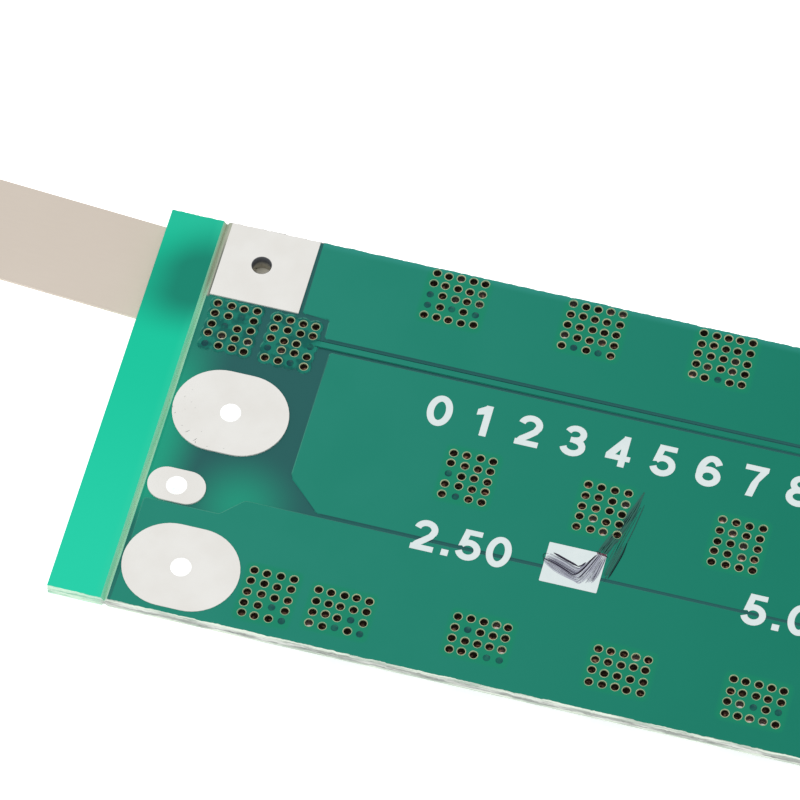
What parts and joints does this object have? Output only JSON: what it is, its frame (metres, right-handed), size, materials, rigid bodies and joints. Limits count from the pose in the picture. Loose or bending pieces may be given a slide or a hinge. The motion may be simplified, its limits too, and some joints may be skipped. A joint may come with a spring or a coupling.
{
  "type": "battery management board",
  "caption": "Flat circuit board with tinned wire pads, via blocks and a nickel strip on a scored rail end, with power transistors and control parts on its underside.",
  "frame": {"origin": "on the axis of the far wire hole, level with the top of the copper on the via side", "axes": "+X along the board, away from the process rail and the nickel strip; +Y across the board to its far edge; +Z out of the via side, away from the transistors"},
  "size_m": [0.0668, 0.024, 0.0034],
  "materials": {
    "masked_laminate": "satin green solder mask",
    "tinned_copper": "bright tin, lightly scratched",
    "nickel": "matte rolled nickel",
    "solder": "smooth solder",
    "black_moulding": "fine matte moulding",
    "tinned_leads": "matte tin",
    "resistor_ceramic": "dark glazed resistor film on ceramic",
    "capacitor_ceramic": "tan sintered ceramic",
    "chip_caps": "tinned end caps"
  },
  "bodies": {
    "root": {"board": "masked_laminate", "far_wire_pad": "tinned_copper", "near_wire_pad": "tinned_copper", "sense_pad": "tinned_copper", "strip_pad": "tinned_copper", "nickel_strip": "nickel", "strip_solder": "solder", "far_row_solder": "solder", "near_row_solder": "solder", "controls_solder": "solder", "far_mosfet_1_body": "black_moulding", "far_mosfet_1_leads": "tinned_leads", "far_mosfet_2_body": "black_moulding", "far_mosfet_2_leads": "tinned_leads", "far_mosfet_3_body": "black_moulding", "far_mosfet_3_leads": "tinned_leads", "far_mosfet_4_body": "black_moulding", "far_mosfet_4_leads": "tinned_leads", "far_mosfet_5_body": "black_moulding", "far_mosfet_5_leads": "tinned_leads", "near_mosfet_1_body": "black_moulding", "near_mosfet_1_leads": "tinned_leads", "near_mosfet_2_body": "black_moulding", "near_mosfet_2_leads": "tinned_leads", "near_mosfet_3_body": "black_moulding", "near_mosfet_3_leads": "tinned_leads", "near_mosfet_4_body": "black_moulding", "near_mosfet_4_leads": "tinned_leads", "near_mosfet_5_body": "black_moulding", "near_mosfet_5_leads": "tinned_leads", "protection_controller_body": "black_moulding", "protection_controller_leads": "tinned_leads", "resistor_1_body": "resistor_ceramic", "resistor_1_terminals": "chip_caps", "resistor_2_body": "resistor_ceramic", "resistor_2_terminals": "chip_caps", "resistor_3_body": "resistor_ceramic", "resistor_3_terminals": "chip_caps", "resistor_4_body": "resistor_ceramic", "resistor_4_terminals": "chip_caps", "capacitor_1_body": "capacitor_ceramic", "capacitor_1_terminals": "chip_caps", "capacitor_2_body": "capacitor_ceramic", "capacitor_2_terminals": "chip_caps"}
  },
  "joints": []
}
